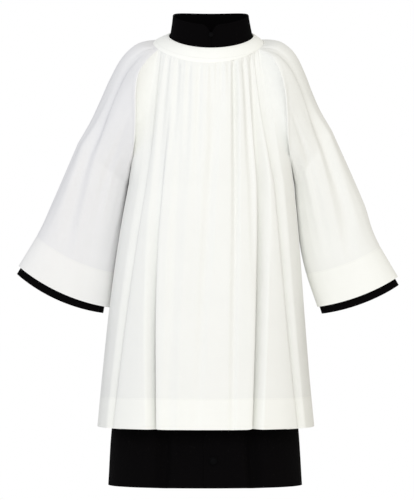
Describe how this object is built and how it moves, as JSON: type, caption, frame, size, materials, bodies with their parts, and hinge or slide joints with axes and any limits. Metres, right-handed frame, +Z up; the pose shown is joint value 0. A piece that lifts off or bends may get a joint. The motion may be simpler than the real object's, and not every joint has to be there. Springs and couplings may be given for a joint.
{
  "type": "cassock with surplice",
  "caption": "Black cassock with a notched stand collar, worn hollow under a gathered white surplice with bell sleeves, a flat neck band and deep plain hems.",
  "frame": {"origin": "middle of the neck at the collar seam, level with the tops of the shoulders, where the wearer holds the garments up", "axes": "+Z up towards the collar, -Y the front that the wearer faces, +X the wearer's left arm"},
  "size_m": [0.8147, 0.353, 1.0059],
  "materials": {
    "surplice_cloth": "plain-weave polyester and cotton, matt",
    "surplice_band": "the same cloth doubled and pressed flat",
    "cassock_cloth": "black suiting, matt with a faint sheen",
    "button": "polished black"
  },
  "bodies": {
    "root": {"surplice_front": "surplice_cloth", "surplice_back": "surplice_cloth", "surplice_sleeve_right": "surplice_cloth", "surplice_sleeve_left": "surplice_cloth", "surplice_neck_band": "surplice_band", "cassock_collar": "cassock_cloth", "cassock_front_right": "cassock_cloth", "cassock_front_right_skirt": "cassock_cloth", "cassock_front_left": "cassock_cloth", "cassock_front_left_skirt": "cassock_cloth", "cassock_back": "cassock_cloth", "cassock_back_skirt": "cassock_cloth", "cassock_sleeve_right": "cassock_cloth", "cassock_sleeve_right_forearm": "cassock_cloth", "cassock_sleeve_left": "cassock_cloth", "cassock_sleeve_left_forearm": "cassock_cloth", "cassock_collar_button": "button", "cassock_button_1": "button", "cassock_button_2": "button", "cassock_button_3": "button", "cassock_button_4": "button", "cassock_button_5": "button", "cassock_button_6": "button", "cassock_button_7": "button", "cassock_button_8": "button"}
  },
  "joints": []
}
